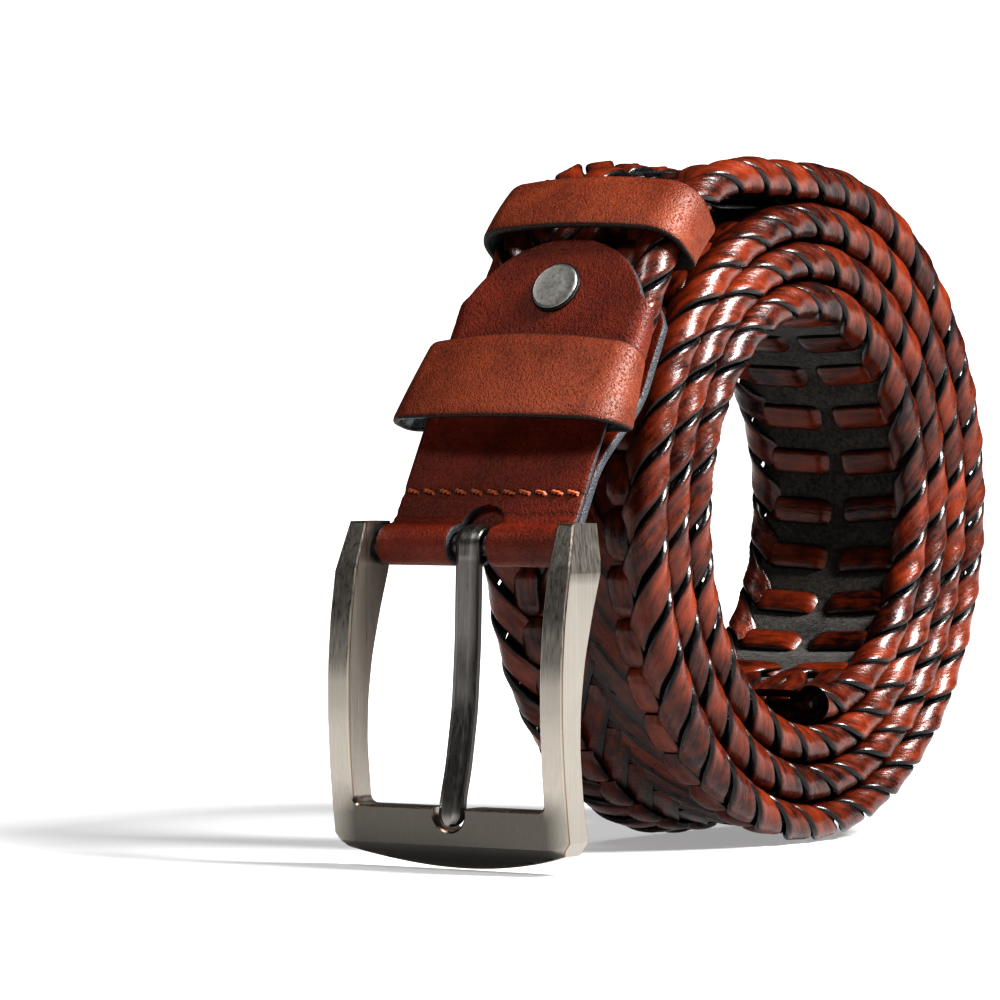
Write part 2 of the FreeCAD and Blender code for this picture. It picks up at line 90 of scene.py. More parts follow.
# ---------------------------------------------------------------- strap path
def strap_path():
    """Stations of the strap: y, z, outward normal y and z, and length from the inner end."""
    growth = TURN_PITCH / (2 * math.pi)
    a = np.radians(np.arange(COIL_START, COIL_END + 0.5, 1.0))
    r = INNER_RADIUS + growth * a
    y, z = r * np.sin(a), -r * np.cos(a)
    dy = growth * np.sin(a) + r * np.cos(a)
    dz = -growth * np.cos(a) + r * np.sin(a)
    size = np.hypot(dy, dz)
    coil = np.stack([y, z, dz / size, -dy / size], 1)
    before = coil[0] + np.array([coil[0, 3] * 6.0, -coil[0, 2] * 6.0, 0, 0])
    last = coil[-1]
    heading = math.atan2(-last[2], last[3])
    reach = np.linspace(0, LEAD_LENGTH, 12)[1:, None]
    lead = last + reach * np.array([-last[3], last[2], 0, 0])
    start = lead[-1]
    centre = (start[0] + BEND_RADIUS * math.sin(heading), start[1] - BEND_RADIUS * math.cos(heading))
    b = np.linspace(heading, math.radians(90.0 - TAB_LEAN), 60)[1:]
    bend = np.stack([centre[0] - BEND_RADIUS * np.sin(b), centre[1] + BEND_RADIUS * np.cos(b),
                     -np.sin(b), np.cos(b)], 1)
    lean = math.radians(TAB_LEAN)
    down = np.linspace(0, BRAID_TAIL + 6.0, 12)[1:, None]
    tail = bend[-1] + down * np.array([-math.sin(lean), -math.cos(lean), 0, 0])
    stations = np.vstack([before, coil, lead, bend, tail])
    steps = np.hypot(*np.diff(stations[:, :2], axis=0).T)
    length = np.concatenate([[0.0], np.cumsum(steps)]) - 6.0
    return stations, length, centre


STATIONS, LENGTH, BEND = strap_path()
STRAP_END = LENGTH[-1] - 6.0
LEAN = math.radians(TAB_LEAN)
DOWN = np.array([-math.sin(LEAN), -math.cos(LEAN)])
OUT = np.array([-math.cos(LEAN), math.sin(LEAN)])


def row(across, y, z):
    """Row-frame points in metres from across and coil coordinates."""
    across, y, z = np.broadcast_arrays(across, y, z)
    return np.stack([across, y + AXIS_Y, z + AXIS_Z], -1) * MM


def on_strap(local):
    """Row-frame points from (length along, across, out) beside the strap's centre line."""
    s, across, out = local[..., 0], local[..., 1], local[..., 2]
    y, z, ny, nz = [np.interp(s, LENGTH, STATIONS[:, i]) for i in range(4)]
    return row(across, y + ny * out, z + nz * out)


def on_tab(across, down, out):
    """Row-frame points beside the straight tab."""
    down, out = np.asarray(down, float), np.asarray(out, float)
    y = BEND[0] + DOWN[0] * down + OUT[0] * (BEND_RADIUS + out)
    z = BEND[1] + DOWN[1] * down + OUT[1] * (BEND_RADIUS + out)
    return row(across, y, z)


def tab_yz(down, out):
    return (BEND[0] + DOWN[0] * down + OUT[0] * (BEND_RADIUS + out),
            BEND[1] + DOWN[1] * down + OUT[1] * (BEND_RADIUS + out))


def on_buckle(across, forward, drop):
    """Row-frame points measured forwards and downwards from the buckle's bar."""
    y, z = tab_yz(BAR_DOWN, BAR_LIFT)
    return row(across, y - np.asarray(forward, float), z - np.asarray(drop, float))


# ---------------------------------------------------------------- mesh gathering
class Shell:
    """Points, faces and marks of one piece, gathered before its mesh is made."""

    def __init__(self):
        self.points, self.faces, self.rim, self.tone, self.flat = [], [], [], [], []
        self.count = 0

    def add(self, points, faces, rim=0.0, tone=0.5, flat=None):
        size = len(points)
        self.points.append(points)
        self.faces += [[i + self.count for i in f] for f in faces]
        self.rim.append(np.broadcast_to(rim, (size,)))
        self.tone.append(np.broadcast_to(tone, (size,)))
        self.flat.append(np.zeros((size, 3)) if flat is None else flat)
        self.count += size

    def sweep(self, rings, rim=0.0, tone=0.5, flat=None, closed=False):
        """Skin over closed rings, shape (rings, points, 3), with end caps unless it closes."""
        m, k = rings.shape[:2]
        index = np.arange(m * k).reshape(m, k)
        after = np.roll(index, -1, 0) if closed else index[1:]
        here = index if closed else index[:-1]
        quads = np.stack([here, np.roll(here, -1, 1), np.roll(after, -1, 1), after], -1).reshape(-1, 4)
        faces = quads.tolist()
        if not closed:
            faces += [index[0][::-1].tolist(), index[-1].tolist()]
        rim = np.broadcast_to(rim, (m, k)).reshape(-1)
        tone = np.broadcast_to(tone, (m, k)).reshape(-1)
        flat = None if flat is None else flat.reshape(-1, 3)
        self.add(rings.reshape(-1, 3), faces, rim, tone, flat)


def piece(name, shell, material, body, nodes, sharp=38.0):
    """Makes the shell a mesh object that rides on a body and stands for its CAD nodes."""
    mesh = bpy.data.meshes.new(name)
    mesh.from_pydata(np.concatenate(shell.points).tolist(), [], shell.faces)
    bm = bmesh.new()
    bm.from_mesh(mesh)
    bmesh.ops.recalc_face_normals(bm, faces=bm.faces)
    bm.to_mesh(mesh)
    bm.free()
    for key, values in (("rim", shell.rim), ("tone", shell.tone)):
        mark = mesh.attributes.new(key, "FLOAT", "POINT")
        mark.data.foreach_set("value", np.concatenate(values).astype(np.float32))
    flat = mesh.attributes.new("flat", "FLOAT_VECTOR", "POINT")
    flat.data.foreach_set("vector", np.concatenate(shell.flat).astype(np.float32).ravel())
    mesh.polygons.foreach_set("use_smooth", np.ones(len(mesh.polygons), bool))
    mesh.set_sharp_from_angle(angle=math.radians(sharp))
    mesh.materials.append(material)
    obj = bpy.data.objects.new(name, mesh)
    bpy.context.scene.collection.objects.link(obj)
    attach(obj, body)
    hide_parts(*nodes)
    return obj


# ---------------------------------------------------------------- materials
class Nodes:
    """Short hand for building one material's node tree."""

    def __init__(self, name):
        self.material = bpy.data.materials.new(name)
        self.material.use_nodes = True
        self.tree = self.material.node_tree
        self.shader = self.tree.nodes["Principled BSDF"]
        self.place = self.tree.nodes.new("ShaderNodeTexCoord").outputs["Object"]

    def link(self, source, target):
        self.tree.links.new(source, target)

    def set(self, **values):
        for key, value in values.items():
            socket = self.shader.inputs[key.replace("_", " ")]
            if isinstance(value, (int, float, tuple)):
                socket.default_value = value
            else:
                self.link(value, socket)

    def mark(self, name, vector=False):
        node = self.tree.nodes.new("ShaderNodeAttribute")
        node.attribute_name = name
        return node.outputs["Vector" if vector else "Fac"]

    def stretch(self, scale, source=None):
        node = self.tree.nodes.new("ShaderNodeMapping")
        self.link(source or self.place, node.inputs["Vector"])
        node.inputs["Scale"].default_value = scale
        return node.outputs["Vector"]

    def noise(self, scale, detail=3.0, rough=0.5, source=None):
        node = self.tree.nodes.new("ShaderNodeTexNoise")
        self.link(source or self.place, node.inputs["Vector"])
        node.inputs["Scale"].default_value = scale
        node.inputs["Detail"].default_value = detail
        node.inputs["Roughness"].default_value = rough
        return node.outputs["Fac"]

    def cells(self, scale, source=None):
        node = self.tree.nodes.new("ShaderNodeTexVoronoi")
        self.link(source or self.place, node.inputs["Vector"])
        node.inputs["Scale"].default_value = scale
        return node.outputs["Distance"]

    def math(self, kind, a, b=0.0, c=0.0):
        node = self.tree.nodes.new("ShaderNodeMath")
        node.operation = kind
        for socket, value in zip(node.inputs, (a, b, c)):
            if isinstance(value, (int, float)):
                socket.default_value = value
            else:
                self.link(value, socket)
        return node.outputs[0]

    def ramp(self, value, low, high, start=0.0, end=1.0):
        node = self.tree.nodes.new("ShaderNodeMapRange")
        self.link(value, node.inputs[0])
        for i, number in enumerate((low, high, start, end)):
            node.inputs[i + 1].default_value = number
        return node.outputs[0]

    def mix(self, factor, a, b):
        node = self.tree.nodes.new("ShaderNodeMix")
        node.data_type = "RGBA"
        for socket, value in ((node.inputs[0], factor), (node.inputs[6], a), (node.inputs[7], b)):
            if isinstance(value, tuple):
                socket.default_value = (*value, 1.0)
            elif isinstance(value, float):
                socket.default_value = value
            else:
                self.link(value, socket)
        return node.outputs[2]

    def bump(self, height, depth, strength=1.0):
        node = self.tree.nodes.new("ShaderNodeBump")
        self.link(height, node.inputs["Height"])
        node.inputs["Distance"].default_value = depth
        node.inputs["Strength"].default_value = strength
        self.link(node.outputs["Normal"], self.shader.inputs["Normal"])


def tan_leather(name, deep, bright, edge, stitched=False):
    """Smooth, fine-grained leather with a painted cut edge and, where stitched, painted shade in the
    stitch holes.
    """
    n = Nodes(name)
    cloud = n.noise(90.0, 4.0, 0.6)
    speck = n.noise(1500.0, 3.0, 0.6)
    pores = n.cells(2300.0)
    tone = n.math("ADD", n.ramp(cloud, 0.3, 0.7, 0.1, 0.75), n.ramp(speck, 0.35, 0.65, -0.16, 0.16))
    colour = n.mix(tone, deep, bright)
    colour = n.mix(n.ramp(pores, 0.0, 0.35, 0.45, 0.0), colour, tuple(c * 0.45 for c in deep))
    rim = n.mark("rim")
    colour = n.mix(n.ramp(rim, 0.25, 0.75, 0.0, 0.55), colour, tuple(c * 0.5 for c in deep))
    colour = n.mix(n.ramp(rim, 0.8, 0.95), colour, edge)
    if stitched:
        split = n.tree.nodes.new("ShaderNodeSeparateXYZ")
        n.link(n.mark("flat", True), split.inputs[0])
        half_pitch = STITCH_PITCH / 2.0
        across = n.math("PINGPONG", n.math("ADD", split.outputs[0], half_pitch), half_pitch)
        side = n.math("SUBTRACT", across, 0.42)
        along = n.math("SUBTRACT", split.outputs[1], COVER_TIP + STITCH_DOWN)
        gap = n.math("SQRT", n.math("ADD", n.math("MULTIPLY", side, side),
                                    n.math("MULTIPLY", along, along)))
        stitch_hole_shade = n.ramp(gap, 0.25, 0.5, 1.0, 0.0)
        inside = n.math("LESS_THAN", n.math("ABSOLUTE", split.outputs[0]), 17.6)
        # Painted shade: near-black dots in the stitch holes where the thread enters the leather.
        colour = n.mix(n.math("MULTIPLY", stitch_hole_shade, inside), colour, (0.008, 0.004, 0.003))
    n.set(Base_Color=colour, Roughness=n.ramp(speck, 0.3, 0.7, 0.40, 0.56))
    n.shader.inputs["Specular IOR Level"].default_value = 0.24
    height = n.math("ADD", n.math("MULTIPLY", speck, 0.6), n.ramp(pores, 0.0, 0.5, 0.0, 0.5))
    n.bump(height, 0.0003, 0.7)
    return n.material


def lace_leather():
    """Glossy lacing with painted shade that darkens it towards its sides and underside, where laces meet,
    near-black edge paint on its cut edges, and a tone that varies from lace to lace.
    """
    n = Nodes("lace_leather")
    streak = n.noise(1.0, 4.0, 0.6, n.stretch((0.9, 0.22, 1.0), n.mark("flat", True)))
    cloud = n.noise(260.0, 3.0, 0.6)
    fine = n.noise(1700.0, 2.0, 0.6)
    tone = n.math("ADD", n.ramp(streak, 0.3, 0.7, 0.0, 0.55), n.ramp(cloud, 0.3, 0.7, -0.15, 0.3))
    tone = n.math("ADD", tone, n.ramp(n.mark("tone"), 0.0, 1.0, -0.2, 0.3))
    colour = n.mix(tone, (0.0080, 0.0011, 0.0007), (0.150, 0.0240, 0.0060))
    rim = n.mark("rim")
    # Painted shade: the lace darkens towards its sides and underside, in the crevices between laces.
    colour = n.mix(n.ramp(rim, 0.1, 0.7, 0.0, 0.9), colour, (0.010, 0.002, 0.001))
    colour = n.mix(n.ramp(rim, 0.7, 0.9), colour, (0.003, 0.003, 0.003))
    n.set(Base_Color=colour, Roughness=n.ramp(fine, 0.3, 0.7, 0.26, 0.42))
    n.shader.inputs["Specular IOR Level"].default_value = 0.3
    n.shader.inputs["Coat Weight"].default_value = 0.16
    n.shader.inputs["Coat Roughness"].default_value = 0.14
    n.bump(n.math("ADD", n.math("MULTIPLY", streak, 1.2), n.math("MULTIPLY", fine, 0.25)), 0.00035, 0.6)
    return n.material


def suede(name, dark, light, grain_side=(0.03, 0.008, 0.005)):
    """Matt flesh side of leather, speckled."""
    n = Nodes(name)
    fibre = n.noise(1300.0, 6.0, 0.75)
    cloud = n.noise(180.0, 3.0, 0.6)
    tone = n.math("ADD", n.ramp(fibre, 0.38, 0.66, 0.0, 0.85), n.ramp(cloud, 0.3, 0.7, -0.15, 0.2))
    colour = n.mix(n.ramp(n.mark("rim"), 0.2, 0.8), n.mix(tone, dark, light), grain_side)
    n.set(Base_Color=colour, Roughness=0.95)
    n.shader.inputs["Specular IOR Level"].default_value = 0.2
    n.shader.inputs["Sheen Weight"].default_value = 0.15
    n.bump(fibre, 0.0006, 0.8)
    return n.material


def brushed_metal(name, light, dark, grain, rough, edge=None):
    """Brushed plating: fine scratches along one way, painted shade where the tone mark is high, and a warm
    brown line along the edges.
    """
    n = Nodes(name)
    scratch = n.noise(1.0, 5.0, 0.65, n.stretch(grain))
    cloud = n.noise(120.0, 3.0, 0.5)
    tone = n.math("ADD", n.ramp(scratch, 0.3, 0.7, 0.25, 0.85), n.ramp(cloud, 0.3, 0.7, 0.0, 0.15))
    colour = n.mix(tone, dark, light)
    shade = n.mark("tone")
    # Painted shade: a high tone mark darkens the plating nearly to black (the buckle's end bar and bevel,
    # the prong's side facets).
    colour = n.mix(n.ramp(shade, 0.0, 1.0, 0.0, 0.93), colour, tuple(c * 0.07 for c in dark))
    if edge:
        # A warm brown line along the chamfered edges.
        colour = n.mix(n.ramp(n.mark("rim"), 0.4, 0.9, 0.0, 0.75), colour, edge)
    shine = n.ramp(scratch, 0.3, 0.7, rough - 0.05, rough + 0.09)
    n.set(Base_Color=colour, Metallic=1.0, Roughness=shine)
    n.bump(scratch, 0.00004, 0.5)
    return n.material


def plain(name, colour, rough, metallic=0.0):
    """One colour with a fine grain, for thread and the dark metal ring at the rivet's cap."""
    n = Nodes(name)
    grain = n.noise(900.0, 3.0, 0.6)
    shade = n.mix(n.ramp(grain, 0.3, 0.7), tuple(c * 0.6 for c in colour), colour)
    shine = n.ramp(grain, 0.3, 0.7, rough - 0.06, rough + 0.08)
    n.set(Base_Color=shade, Metallic=metallic, Roughness=shine)
    return n.material


TAB = tan_leather("tab_leather",
                  (0.048, 0.0052, 0.0018), (0.135, 0.0200, 0.0060), (0.03, 0.033, 0.038), True)
KEEPER = tan_leather("keeper_leather",
                     (0.070, 0.0135, 0.0055), (0.172, 0.0410, 0.0160), (0.012, 0.008, 0.006))
LACE = lace_leather()
CORE = suede("core_suede", (0.003, 0.0025, 0.002), (0.060, 0.050, 0.041))
LINING = suede("keeper_lining",
               (0.025, 0.027, 0.030), (0.11, 0.118, 0.13), (0.01, 0.006, 0.005))
STEEL = brushed_metal("buckle_plating", (0.43, 0.40, 0.355), (0.29, 0.265, 0.235),
                      (3500.0, 3500.0, 30.0), 0.30, (0.16, 0.075, 0.035))
PRONG = brushed_metal("prong_plating",
                      (0.30, 0.285, 0.27), (0.17, 0.16, 0.15), (2600.0, 2600.0, 90.0), 0.30)
NICKEL = brushed_metal("rivet_plating",
                       (0.50, 0.485, 0.455), (0.32, 0.305, 0.285), (1500.0, 1500.0, 1500.0), 0.42)
# Dark metal ring at the foot of the rivet's cap.
BLACK = plain("dark_ring_metal", (0.03, 0.03, 0.033), 0.35, 0.8)
THREAD = plain("waxed_thread", (0.36, 0.085, 0.022), 0.55)

# ---------------------------------------------------------------- laces
# section of a lace: place across its width, height as a share of the crown, and edge mark
SECTION_U = np.array([-1.0, -1.0, -0.9, -0.62, -0.22, 0.22, 0.62, 0.9, 1.0, 1.0, 0.5, -0.5])
SECTION_H = np.array([0.0, 0.42, 0.70, 0.91, 1.0, 1.0, 0.91, 0.70, 0.42, 0.0, 0.1, 0.1])
SECTION_RIM = np.array([1.0, 1.0, 0.45, 0, 0, 0, 0, 0.45, 1.0, 1.0, 0.3, 0.3])


def smooth_line(points, count):
    """Evenly spaced points on a smooth line through the given ones."""
    points = np.asarray(points, float)
    steps = np.linalg.norm(np.diff(points, axis=0), axis=1)
    t = np.concatenate([[0], np.cumsum(steps)])
    dense = np.linspace(0, t[-1], 400)
    line = np.stack([np.interp(dense, t, points[:, i]) for i in range(points.shape[1])], 1)
    kernel = np.hanning(61)
    kernel /= kernel.sum()
    padded = np.concatenate([2 * line[0] - line[30:0:-1], line, 2 * line[-1] - line[-2:-32:-1]])
    line = np.stack([np.convolve(padded[:, i], kernel, "valid") for i in range(points.shape[1])], 1)
    pick = np.linspace(0, len(line) - 1, count).round().astype(int)
    return line[pick]


def lace(shell, line, half, crown, shift, side, tilt=0.0, tone=0.5):
    """One visible run of a lace. The line is (along, across, out) of its underside."""
    tangent = np.gradient(line, axis=0)
    flat = np.hypot(tangent[:, 1], tangent[:, 2])
    normal = np.stack([np.zeros(len(line)), tangent[:, 2] / flat, -tangent[:, 1] / flat], 1)
    tangent /= np.linalg.norm(tangent, axis=1)[:, None]
    width = np.cross(tangent, normal)
    rise = crown[:, None] * SECTION_H - tilt * SECTION_U * width[:, :1]
    ring = (line[:, None] + width[:, None] * (SECTION_U * half[:, None])[..., None]
            + normal[:, None] * rise[..., None])
    ring = ring + np.array([shift, 0, 0])
    ring[..., 0] = np.clip(ring[..., 0], -1.6, STRAP_END + 0.5)
    ring[..., 1] *= side
    along = np.cumsum(np.linalg.norm(np.diff(line, axis=0, prepend=line[:1]), axis=1))
    flat = np.stack(np.broadcast_arrays(SECTION_U * half[:, None], along[:, None] + shift * 7.3,
                                        np.full((1, 1), shift * side)), -1)
    shell.sweep(on_strap(ring), SECTION_RIM[None], tone, flat)


def edge_line():
    """Underside of an edge lace's run: from its slot at the back, round the edge, to the column."""
    turn = np.radians(np.linspace(-84, 84, 9))
    points = [(-3.0, 11.9, -0.8), (-1.7, 12.9, -1.45)]
    points += [(6.0 + 6.0 * a / turn[-1], 14.0 + 2.2 * math.cos(a), 1.8 * math.sin(a)) for a in turn]
    points += [(13.8, 12.8, 1.55), (16.2, 11.4, 1.1), (17.8, 10.4, 0.6)]
    return smooth_line(points, 28)


def inner_line():
    """Underside of an inner lace's front run: from the middle to the column."""
    points = [(0.0, 0.2, 0.35), (1.6, 1.0, 0.8), (6.0, 3.6, 0.95), (10.5, 6.2, 0.9), (14.5, 8.6, 0.7),
              (17.0, 10.4, 0.35)]
    return smooth_line(points, 16)


def bar_line():
    """Underside of an inner lace's bar across the back."""
    points = [(-0.4, 1.5, -0.35), (-0.3, 2.1, -0.8), (0.0, 4.5, -1.0), (0.3, 9.5, -1.0),
              (0.5, 12.2, -0.85), (0.6, 13.0, -0.4)]
    return smooth_line(points, 16)


def fade(count, start, middle, end, share=0.22):
    """Values that run from start to middle to end, eased over a share of the count."""
    t = np.linspace(0, 1, count)
    rise = np.clip(t / share, 0, 1)
    fall = np.clip((1 - t) / share, 0, 1)
    rise, fall = rise * rise * (3 - 2 * rise), fall * fall * (3 - 2 * fall)
    return middle + (start - middle) * (1 - rise) + (end - middle) * (1 - fall)


ROWS = np.arange(-3, int(STRAP_END / ROW_PITCH))


def make_edge_laces(side, name):
    shell = Shell()
    line = edge_line()
    for k in ROWS:
        half = fade(len(line), 2.2, LACE_HALF, 2.2) * RNG.uniform(0.96, 1.03)
        crown = fade(len(line), 0.6, LACE_CROWN, 0.9) * RNG.uniform(0.94, 1.0)
        shift = k * ROW_PITCH + RNG.uniform(-0.35, 0.35)
        lace(shell, line, half, crown, shift, side, 0.25, RNG.uniform(0, 1))
    return piece(name, shell, LACE, "belt", [name[:-5]])


def make_inner_laces(side, name):
    shell = Shell()
    front, back = inner_line(), bar_line()
    for k in ROWS:
        tone = RNG.uniform(0, 1)
        half = fade(len(front), 2.3, 2.9, 2.4) * RNG.uniform(0.96, 1.03)
        crown = fade(len(front), 0.9, 1.2, 0.9)
        lace(shell, front, half, crown, k * ROW_PITCH + RNG.uniform(-0.3, 0.3), side, 0.5, tone)
        half = fade(len(back), 1.9, 2.35, 1.9, 0.12) * RNG.uniform(0.94, 1.04)
        crown = fade(len(back), 0.7, 1.25, 0.7, 0.12)
        lace(shell, back, half, crown, k * ROW_PITCH + 5.2 + RNG.uniform(-0.25, 0.25), side, 0.0, tone)
    return piece(name, shell, LACE, "belt", [name[:-5]])


def make_column_laces(side, name):
    """Lace that shows along the strap as short raised blocks with dark gaps between them."""
    shell = Shell()
    count = 12
    t = np.linspace(0, 1, count)
    for k in ROWS:
        start = k * ROW_PITCH + 5.0 + RNG.uniform(-0.2, 0.2)
        arch = np.sin(math.pi * t) ** 0.45
        line = np.stack([7.9 * t, 9.35 + 0.5 * (t - 0.5), 0.55 + 0.75 * arch], 1)
        tangent = np.gradient(line, axis=0)
        tangent /= np.linalg.norm(tangent, axis=1)[:, None]
        normal = np.stack([-tangent[:, 2], np.zeros(count), tangent[:, 0]], 1)
        half = fade(count, 1.9, 2.45, 1.9) * RNG.uniform(0.96, 1.03)
        crown = fade(count, 0.7, 1.15, 0.7)
        ring = (line[:, None] + np.array([0, 1, 0]) * (SECTION_U * half[:, None])[..., None]
                + normal[:, None] * (crown[:, None] * SECTION_H)[..., None])
        ring = ring + np.array([start, 0, 0])
        ring[..., 0] = np.clip(ring[..., 0], -1.6, STRAP_END + 0.5)
        ring[..., 1] *= side
        flat = np.stack(np.broadcast_arrays(SECTION_U * half[:, None], (7.9 * t)[:, None] + start * 7.3,
                                            np.full((1, 1), start * side)), -1)
        shell.sweep(on_strap(ring), SECTION_RIM[None], RNG.uniform(0.1, 1), flat)
    return piece(name, shell, LACE, "belt", [name[:-5]])


def make_core():
    """Core strap: its flesh side swells between the bars at the back."""
    shell = Shell()
    s = np.arange(-0.5, STRAP_END + 0.5, 1.0)
    across = np.linspace(-1, 1, 15)
    x = across * (CORE_HALF_WIDTH - 0.2)
    swell = 0.5 + 0.5 * np.cos(2 * math.pi * (s - 0.7) / ROW_PITCH)
    fleck = RNG.normal(0, 0.05, (len(s), len(x)))
    back = -CORE_HALF - 0.05 - 0.5 * swell[:, None] * (1 - 0.3 * across ** 2) - np.abs(fleck)
    front = np.full((len(s), len(x)), CORE_HALF - 0.35)
    along = np.broadcast_to(s[:, None], back.shape)
    wide = np.broadcast_to(x, back.shape)
    top = np.stack([along, wide, front], -1)
    low = np.stack([along, wide, back], -1)[:, ::-1]
    rings = on_strap(np.concatenate([top, low], 1))
    face = np.concatenate([np.ones(len(x)), np.zeros(len(x))])
    shell.sweep(rings, face[None])
    return piece("strap_core_skin", shell, CORE, "belt", ["strap_core"])


def make_tip_laces():
    """Laces bound over the strap's inner end."""
    shell = Shell()
    turn = np.radians(np.linspace(-90, 90, 13))
    for i in range(6):
        middle = -11.8 + 4.72 * i
        s = np.concatenate([[15.0, 11.0, 6.0], 0.9 - 1.5 * np.cos(turn), [6.0]])
        out = np.concatenate([[-1.2, -2.2 - 0.35 * (i % 2), -2.0], 1.6 * np.sin(turn), [1.55]])
        slant = 4.5 if i % 2 else -4.5
        shift = np.concatenate([[slant, 0.55 * slant], np.linspace(0.0, 0.9, len(s) - 2)])
        line = smooth_line(np.stack([s, np.clip(middle + shift, -12.0, 12.0), out], 1), 28)
        tangent = np.gradient(line, axis=0)
        size = np.hypot(tangent[:, 0], tangent[:, 2])
        normal = np.stack([-tangent[:, 2] / size, np.zeros(28), tangent[:, 0] / size], 1)
        half = fade(28, 1.7, 2.2, 2.0)
        crown = fade(28, 0.4, 1.0, 0.4)
        ring = (line[:, None] + np.array([0, 1, 0]) * (SECTION_U * half[:, None])[..., None]
                + normal[:, None] * (crown[:, None] * SECTION_H)[..., None])
        flat = np.stack(np.broadcast_arrays(SECTION_U * half[:, None], np.arange(28.0)[:, None],
                                            np.full((1, 1), 31.0 * i)), -1)
        shell.sweep(on_strap(ring), SECTION_RIM[None], RNG.uniform(0.2, 1), flat)
    return piece("tip_laces", shell, LACE, "belt", ["inner_lace_left"])


# ---------------------------------------------------------------- tab
def tab_line():
    """Centre line of the tab strip, as one step every half millimetre: points and outward normals."""
    front = BRAID_HALF + PLY_GAP + PLY / 2.0
    inside = front - PLY - PLY_GAP
    radius = BAR_RADIUS + 0.05 + PLY / 2.0
    reach = FOLD_FILLET + radius
    end = 90.0 - TAB_LEAN
    bend = np.radians(np.linspace(end - math.degrees(COVER_TIP / (BEND_RADIUS + front)), end, 14))

    def on_bend(out):
        r = BEND_RADIUS + out
        return np.stack([BEND[0] - r * np.sin(bend), BEND[1] + r * np.cos(bend)], 1)

    def arc(down, out, r, first, last):
        a = np.linspace(first, last, 24)
        return np.stack(tab_yz(down + r * np.sin(a), out + r * np.cos(a)), 1)

    front_fillet, back_fillet = front + FOLD_FILLET, inside - FOLD_FILLET
    front_run = math.sqrt(reach ** 2 - (front_fillet - BAR_LIFT) ** 2)
    back_run = math.sqrt(reach ** 2 - (BAR_LIFT - back_fillet) ** 2)
    front_turn = math.atan2(front_run, front_fillet - BAR_LIFT)
    back_turn = math.atan2(back_run, BAR_LIFT - back_fillet)
    t = np.linspace(0, 1, 30)
    ease = t * t * (3 - 2 * t)
    join, leave = BAR_DOWN - BACK_JOIN, BAR_DOWN - BACK_LEAVE
    back_ply = np.stack(tab_yz(join + (leave - join) * t, inside + (-front - inside) * ease), 1)
    points = np.concatenate([
        on_bend(front),
        arc(BAR_DOWN - front_run, front_fillet, FOLD_FILLET, math.pi, math.pi - front_turn),
        arc(BAR_DOWN, BAR_LIFT, radius, -front_turn, math.pi + back_turn)[1:-1],
        arc(BAR_DOWN - back_run, back_fillet, FOLD_FILLET, back_turn, 0.0),
        back_ply,
        on_bend(-front)[::-1],
    ])
    steps = np.concatenate([[0], np.cumsum(np.hypot(*np.diff(points, axis=0).T))])
    v = np.arange(0, steps[-1], 0.5)
    line = np.stack([np.interp(v, steps, points[:, i]) for i in (0, 1)], 1)
    tangent = np.gradient(line, axis=0)
    tangent /= np.linalg.norm(tangent, axis=1)[:, None]
    for _ in range(3):
        tangent[1:-1] = (tangent[:-2] + 2 * tangent[1:-1] + tangent[2:]) / 4
    normal = np.stack([tangent[:, 1], -tangent[:, 0]], 1)
    middle = COVER_TIP + BAR_DOWN + 0.5 * (steps[-1] - 2 * (COVER_TIP + BAR_DOWN))
    return v, line, normal / np.linalg.norm(normal, axis=1)[:, None], steps[-1], middle


